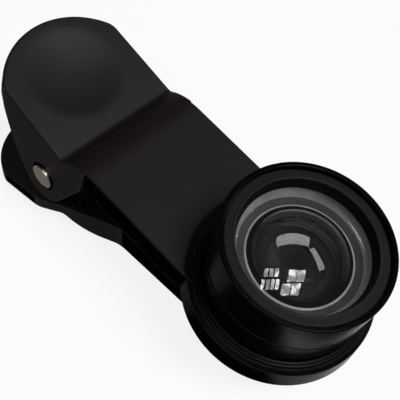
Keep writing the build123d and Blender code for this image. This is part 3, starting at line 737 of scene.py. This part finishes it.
def lens_element(name, node_name, body, finish, top, bottom, reach):
    """A glass with a ground rim; top and bottom are (radius, edge height, bulge)."""
    top_radius, top_edge, top_bulge = top
    bottom_radius, bottom_edge, bottom_bulge = bottom
    corners = [(reach, top_edge, 0.08), (reach, bottom_edge, 0.08)]
    if bottom_radius < reach:
        corners.append((bottom_radius, bottom_edge, 0))
    if bottom_bulge:
        corners += dome_arc(bottom_radius, bottom_edge, bottom_bulge)
    else:
        corners.append((0, bottom_edge, 0))
    corners += reversed(dome_arc(top_radius, top_edge, top_bulge))
    if top_radius < reach:
        corners.append((top_radius, top_edge, 0))

    def rim(a, b):
        return int(min(a.x, b.x) > reach - 0.1)

    piece = turned(name, corners, body, [finish, ground_back], finish_of=rim)
    stands_for(node_name)


def rear_elements():
    """The cemented rear pair of the wide-angle lens and the single glass of the macro lens."""
    cement = rear_front_low + cement_bulge
    cement_back = rear_back_high
    rear_end = rear_back_low + rear_back_bulge
    rear_ring_inner = rear_reach - retainer_width
    lens_element(
        "rear_pair_front",
        "rear_glass_front",
        "wide_lens",
        rear_clear,
        (rear_throat, web_low, rear_bulge),
        (rear_reach, cement, -cement_bulge),
        rear_reach,
    )
    lens_element(
        "rear_pair_back",
        "rear_glass_back",
        "wide_lens",
        rear_clear,
        (rear_reach, cement_back, -cement_bulge),
        (rear_ring_inner, rear_end, -rear_back_bulge),
        rear_reach,
    )
    lens_element(
        "macro_lens_glass",
        "macro_glass",
        "macro_lens",
        macro_clear,
        (macro_glass_reach - retainer_width, macro_glass_low + macro_glass_edge, macro_glass_bulge),
        (macro_glass_reach, macro_glass_low, 0),
        macro_glass_reach,
    )


# Pin, spring and pads


def hinge_pins():
    """The pin with its domed head, and the cap on its far end."""
    along = in_frame("hinge_pin", pin_frame, pin_point)
    head_top, pin_end, head_radius = along[:, 2].max(), along[:, 2].min(), along[:, 0].max()
    seat = head_top - pin_head_height
    shoulder = (head_radius - 0.5, head_top - 0.05, 0.6)
    domed = [(head_radius, head_top - 0.2, 0.2), shoulder, (0, head_top, 0)]
    shank = [(0, pin_end, 0), (pin_radius, pin_end, 0.15), (pin_radius, seat, 0.02)]
    pin = shank + [(head_radius, seat, 0.08)] + domed
    along_pin = {"placing": pin_frame, "origin": pin_point}
    piece = turned("pin_with_head", pin, "upper_clip", [pin_nickel], **along_pin)
    stands_for("hinge_pin")
    socket, bore = pin_end - clearance, pin_radius + clearance
    cap = [(0, socket, 0), (bore, socket, 0.05), (bore, -seat, 0.05), (head_radius, -seat, 0.08)]
    cap += [(r, -height, soft) for r, height, soft in domed]
    piece = turned("pin_far_cap", cap, "upper_clip", [pin_nickel], **along_pin)
    stands_for("pin_cap")


def round_wire(path, radius, sides=14):
    """Points and faces of a wire along a path, with its ends rounded off."""
    end_share = 0.6              # of the wire's radius, at its two ends
    path = [Vector(p) for p in path]
    tangents = [(b - a).normalized() for a, b in zip([path[0]] + path[:-1], path[1:] + [path[-1]])]
    side = tangents[0].orthogonal().normalized()
    rings = []
    for i, (point, tangent) in enumerate(zip(path, tangents)):
        side = (side - tangent * side.dot(tangent)).normalized()
        up = tangent.cross(side)
        size = radius * (end_share if i in (0, len(path) - 1) else 1)
        turns = [math.tau * k / sides for k in range(sides)]
        rings.append([point + (side * math.cos(t) + up * math.sin(t)) * size for t in turns])
    vertices = [v for ring in rings for v in ring]
    faces = [tuple(range(sides))[::-1], tuple(range(len(vertices) - sides, len(vertices)))]
    for r in range(len(rings) - 1):
        for k in range(sides):
            a, b = r * sides + k, r * sides + (k + 1) % sides
            faces.append((a, b, b + sides, a + sides))
    return vertices, faces


def torsion_spring():
    """Round-wire spring round the pin, with its two legs; it doesn't move with the jaws."""

    def on_coil(turns):
        angle = math.radians(coil_start_angle) + turns * math.tau
        across = (2 * turns / coil_turns - 1) * coil_half_length
        return Vector((math.sin(angle) * coil_radius, across, math.cos(angle) * coil_radius)) + pin_point

    steps = 260
    coil = [on_coil(coil_turns * k / steps) for k in range(steps + 1)]
    first = (coil[0] - coil[1]).normalized()
    last = (coil[-1] - coil[-2]).normalized()
    tip = wire_radius * 0.4
    stations = (leg_length * 0.33, leg_length * 0.66, leg_length - tip, leg_length)
    start = [coil[0] + first * d for d in reversed(stations)]
    end = [coil[-1] + last * d for d in stations]
    vertices, faces = round_wire(start + coil + end, wire_radius)
    piece = piece_of("torsion_spring_wire", vertices, faces, [spring_steel])
    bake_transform(piece)
    stands_for("torsion_spring")


def upper_pad():
    """Foam ring that lies on the phone, its lower edges pressed round."""
    corners = [
        (pad_bore, pad_high, 0.05),
        (pad_reach, pad_high, 0.05),
        (pad_reach, pad_low, pad_round),
        (pad_bore, pad_low, pad_round),
    ]
    piece = turned("phone_pad_ring", corners, "upper_clip", [foam_rubber])
    stands_for("upper_pad")


def lower_pad():
    """Foam pad on the lower jaw's tip, its free edges pressed round and its face a little crowned."""
    axes = Matrix((lower_forward, (0, 1, 0), lower_out)).transposed()
    local = in_frame("lower_pad", axes, pin_point)
    low, high = local.min(axis=0), local.max(axis=0)
    half = high[1]
    round_end = high[0] - half
    corner, crown = 1.6, 0.04
    end_steps, corner_steps, edge_steps = 40, 8, 6
    outline = []
    for k in range(end_steps + 1):
        a = math.radians(-90 + 180 * k / end_steps)
        outline.append((round_end + half * math.cos(a), half * math.sin(a), math.cos(a), math.sin(a)))
    for side in (1, -1):
        for k in range(corner_steps + 1):
            a = math.radians((90 if side > 0 else 180) + 90 * k / corner_steps)
            along = low[0] + corner + corner * math.cos(a)
            across = side * (half - corner) + corner * math.sin(a)
            outline.append((along, across, math.cos(a), math.sin(a)))
    rows = [(0.0, high[2])]
    for k in range(edge_steps + 1):
        a = math.radians(90 * k / edge_steps)
        rows.append((pad_round * (1 - math.cos(a)), low[2] + crown + pad_round * (1 - math.sin(a))))
    rows += [(1.2, low[2] + crown / 2), (2.8, low[2])]
    vertices = []
    for inset, height in rows:
        for u, v, nu, nv in outline:
            vertices.append(axes @ Vector((u - nu * inset, v - nv * inset, height)) + pin_point)
    count = len(outline)
    faces = [tuple(range(count))[::-1], tuple(range(len(vertices) - count, len(vertices)))]
    for r in range(len(rows) - 1):
        for k in range(count):
            a, b = r * count + k, r * count + (k + 1) % count
            faces.append((a, b, b + count, a + count))
    piece = piece_of("lower_jaw_pad", vertices, faces, [foam_rubber], "lower_clip")
    stands_for("lower_pad")


macro_barrel()
wide_barrel()
front_ring()
front_glass()
spacer()
rear_elements()
hinge_pins()
torsion_spring()
upper_pad()
lower_pad()
for names, finish in (
    (("upper_jaw", "lower_jaw"), clip_plastic),
    (("macro_retaining_ring", "rear_retaining_ring"), stopped_black),
):
    for name in names:
        frame["nodes"][name].material_slots[0].material = finish


# Floor, light and camera


def toward(azimuth, elevation):
    """A direction, its azimuth from +X towards +Y, in degrees."""
    a, e = math.radians(azimuth), math.radians(elevation)
    return Vector((math.cos(a) * math.cos(e), math.sin(a) * math.cos(e), math.sin(e)))


def pale_floor():
    """A plain white floor, which shows the object's soft shadow."""
    half = 1.5
    own_light = 0.85             # share of the floor that is evenly white where it is seen
    level = cad_box[0].z
    corners = [(-half, -half, level), (half, -half, level), (half, half, level), (-half, half, level)]
    mesh = bpy.data.meshes.new("floor")
    mesh.from_pydata(corners, [], [(0, 1, 2, 3)])
    floor = bpy.data.objects.new("floor", mesh)
    bpy.context.scene.collection.objects.link(floor)
    made, tree, out = finish_named("pale floor", Roughness=0.9, Specular_IOR_Level=0.1)
    paper = noise(tree, here(tree), 3.0, 4.0)
    feed(tree, out["Base Color"], mixed(tree, paper, grey(0.95), grey(0.97)))
    rays = node(tree, "LightPath").outputs
    seen = maths(tree, "MAXIMUM", rays["Is Camera Ray"], rays["Is Transmission Ray"])
    seen = maths(tree, "MAXIMUM", seen, rays["Is Glossy Ray"])
    plain = node(tree, "Emission", None, Color=(1, 1, 1, 1), Strength=1.0)
    shown = node(tree, "MixShader", None, Fac=maths(tree, "MULTIPLY", seen, own_light))
    tree.links.new(tree.nodes["Principled BSDF"].outputs[0], shown.inputs[1])
    tree.links.new(plain.outputs[0], shown.inputs[2])
    tree.links.new(shown.outputs[0], tree.nodes["Material Output"].inputs["Surface"])
    mesh.materials.append(made)


def card(name, panes, brightness, seen_in, contrast=0.15):
    """Cards of four corners each, in metres, that show in one kind of ray: glossy or transmission."""
    corners = [corner for pane in panes for corner in pane]
    mesh = bpy.data.meshes.new(name)
    mesh.from_pydata(corners, [], [tuple(range(4 * k, 4 * k + 4)) for k in range(len(panes))])
    made = bpy.data.materials.new(name)
    made.use_nodes = True
    tree = made.node_tree
    patches = node(tree, "TexNoise", None, Vector=here(tree), Scale=55.0, Detail=1.0).outputs
    uneven = ramp(tree, patches[0], 0.4, 0.6, brightness * (1 - contrast), brightness)
    tinted = mixed(tree, contrast * 0.5, (1, 1, 1, 1), patches["Color"])
    glow = node(tree, "Emission", None, Color=tinted, Strength=uneven)
    tree.links.new(glow.outputs[0], tree.nodes["Material Output"].inputs["Surface"])
    mesh.materials.append(made)
    piece = bpy.data.objects.new(name, mesh)
    bpy.context.scene.collection.objects.link(piece)
    for ray in ("camera", "diffuse", "glossy", "transmission", "shadow", "volume_scatter"):
        setattr(piece, "visible_" + ray, ray == seen_in)


def window():
    """A window that the front glass mirrors: two rows of narrow panes beside larger ones."""
    corner = Vector((6, 115, 450)) * MM
    across = Vector((65, 80, -35)) * MM
    down = Vector((44, -59, 13)) * MM
    # left, right, top and bottom of each pane, as shares of the window
    spans = [(0.09 + a * 0.12, 0.175 + a * 0.12, 0.02, 0.32) for a in range(3)]
    spans += [(0.06 + a * 0.11, 0.14 + a * 0.11, 0.42, 0.78) for a in range(4)]
    spans += [(0.64 + a * 0.2, 0.82 + a * 0.2, 0.08, 0.50) for a in range(2)]
    spans += [(0.54 + a * 0.22, 0.74 + a * 0.22, 0.56, 0.98) for a in range(2)]
    panes = []
    for left, right, top, bottom in spans:
        places = ((left, top), (right, top), (right, bottom), (left, bottom))
        panes.append([corner + across * a + down * b for a, b in places])
    card("window panes", panes, 22.0, "glossy", contrast=0.7)


def shade_sheets():
    """Grey and black sheets of painted shade beside the clip and before the lens, seen only in reflections."""
    level = cad_box[0].z + 0.3 * MM
    near_y = -0.16
    meeting_x = -0.014           # where the two sheets meet

    def shade_sheet(low_x, high_x, far_y):
        plan = ((low_x, near_y), (high_x, near_y), (high_x, far_y), (low_x, far_y))
        return [(x, y, level) for x, y in plan]

    # Painted shade: the sheets stand for the shaded floor in what the walls and the barrel mirror.
    card("grey shade sheet", [shade_sheet(-0.20, meeting_x, 0.08)], 0.22, "glossy")
    card("black shade sheet", [shade_sheet(meeting_x, 0.013, -0.004), shade_sheet(0.0175, 0.16, 0.02)], 0.02, "glossy")


def hollow_strips():
    """Two bright strips that only the hollow at the back of the front glass mirrors."""
    upper = [(-521, 126, 286), (-136, 560, 186), (50, 420, 443), (-372, -50, 485)]
    curved = [(84, 389, 466), (110, 480, 361), (277, 440, 321), (275, 331, 437)]
    curved_end = [(275, 331, 437), (277, 440, 321), (480, 352, 129), (489, 226, 289)]
    strips = [[Vector(corner) * MM for corner in strip] for strip in (upper, curved, curved_end)]
    card("hollow strips", strips, 6.0, "transmission")


def rim_strip():
    """A long pale strip behind the lens, for the shine on the far side of the rim."""
    distance, half_length, half_height = 0.5, 0.3, 0.025
    centre = toward(azimuth=70, elevation=40) * distance
    side = toward(azimuth=160, elevation=0) * half_length
    rise = Vector((0, 0, half_height))
    strip = [centre - side - rise, centre + side - rise, centre + side + rise, centre - side + rise]
    card("rim strip", [strip], 5.0, "glossy")


def soft_box(name, azimuth, elevation, width, height, brightness):
    """A rectangular lamp that faces the object; its brightness is what a mirror would show. It doesn't
    show through glass."""
    distance = 0.6
    lamp = bpy.data.lights.new(name, "AREA")
    lamp.shape = "RECTANGLE"
    lamp.size, lamp.size_y = width, height
    lamp.energy = brightness * math.pi * width * height
    made = bpy.data.objects.new(name, lamp)
    way = toward(azimuth, elevation)
    made.location = (cad_box[0] + cad_box[1]) / 2 + way * distance
    made.rotation_mode = "QUATERNION"
    made.rotation_quaternion = (-way).to_track_quat("-Z", "Y")
    made.visible_transmission = False
    bpy.context.scene.collection.objects.link(made)


def plain_world(strength):
    """An even dim surround, which the camera sees as white."""
    world = bpy.data.worlds.new("studio")
    bpy.context.scene.world = world
    world.use_nodes = True
    tree = world.node_tree
    sky = tree.nodes["Background"].inputs
    sky["Color"].default_value = (1, 1, 1, 1)
    seen = node(tree, "LightPath").outputs["Is Camera Ray"]
    feed(tree, sky["Strength"], maths(tree, "MAXIMUM", seen, strength))


def photo_camera():
    """The photograph's camera: close above the lens's side, with a small roll."""
    eye = Vector((29.456, -53.08, 99.841)) * MM
    aim = Vector((-16.043, 0.059, 8.0)) * MM
    roll = math.radians(5.294)
    focal_pixels = 764.7
    picture_pixels = 400
    camera = bpy.data.cameras.new("camera")
    camera.sensor_width = 36
    camera.lens = camera.sensor_width * focal_pixels / picture_pixels
    camera.clip_start = 0.005
    made = bpy.data.objects.new("camera", camera)
    made.location = eye
    made.rotation_mode = "QUATERNION"
    look = (aim - eye).to_track_quat("-Z", "Y")
    made.rotation_quaternion = look @ Matrix.Rotation(roll, 3, "Z").to_quaternion()
    bpy.context.scene.collection.objects.link(made)
    bpy.context.scene.camera = made


pale_floor()
window()
shade_sheets()
hollow_strips()
rim_strip()
plain_world(strength=0.10)
soft_box("key", azimuth=5, elevation=56, width=0.25, height=0.25, brightness=13.5)
soft_box("fill", azimuth=-75, elevation=62, width=0.30, height=0.30, brightness=2.5)
photo_camera()
bpy.context.scene.view_settings.view_transform = "Standard"
